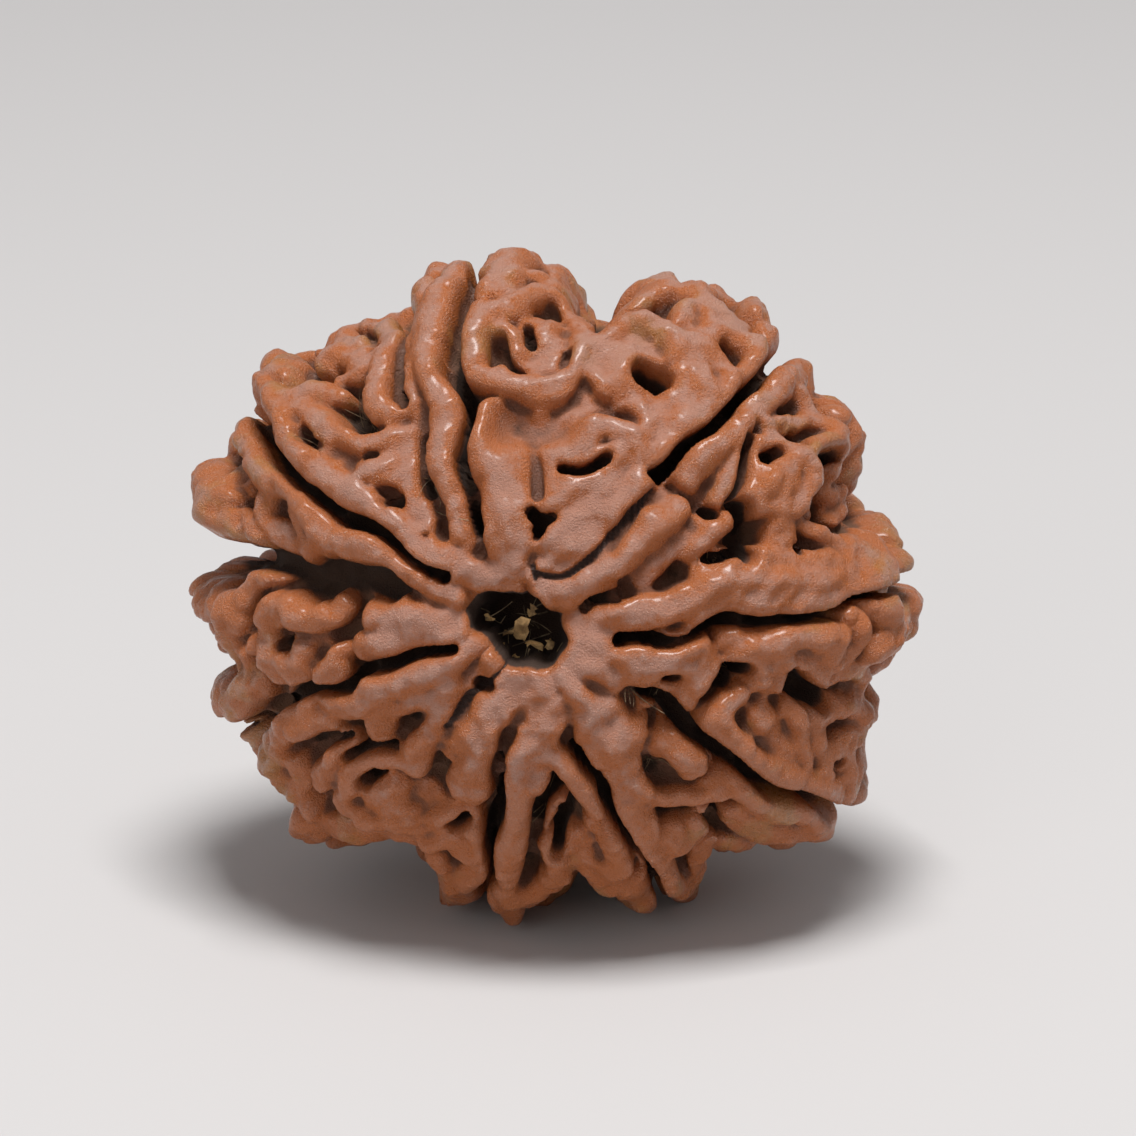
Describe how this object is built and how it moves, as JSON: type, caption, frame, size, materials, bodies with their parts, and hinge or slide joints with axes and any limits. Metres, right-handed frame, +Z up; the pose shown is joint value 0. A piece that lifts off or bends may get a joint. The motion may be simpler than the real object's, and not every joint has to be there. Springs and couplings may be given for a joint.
{
  "type": "rudraksha bead",
  "caption": "Oblate seed stone with deep winding ribs that run from hole to hole, standing on its rim; a natural bead for stringing or holding.",
  "frame": {"origin": "centre of the box around the bead, at the level of the flat spot it stands on", "axes": "+Z up, +X to the right as the holed face is looked at, -Y towards the viewer; the hole's axis leans back by about 11 degrees"},
  "size_m": [0.0264, 0.0183, 0.0235],
  "materials": {
    "seed_shell": "dry woody shell, worn and faintly waxy on the crests"
  },
  "bodies": {
    "root": {"bead": "seed_shell"}
  },
  "joints": []
}
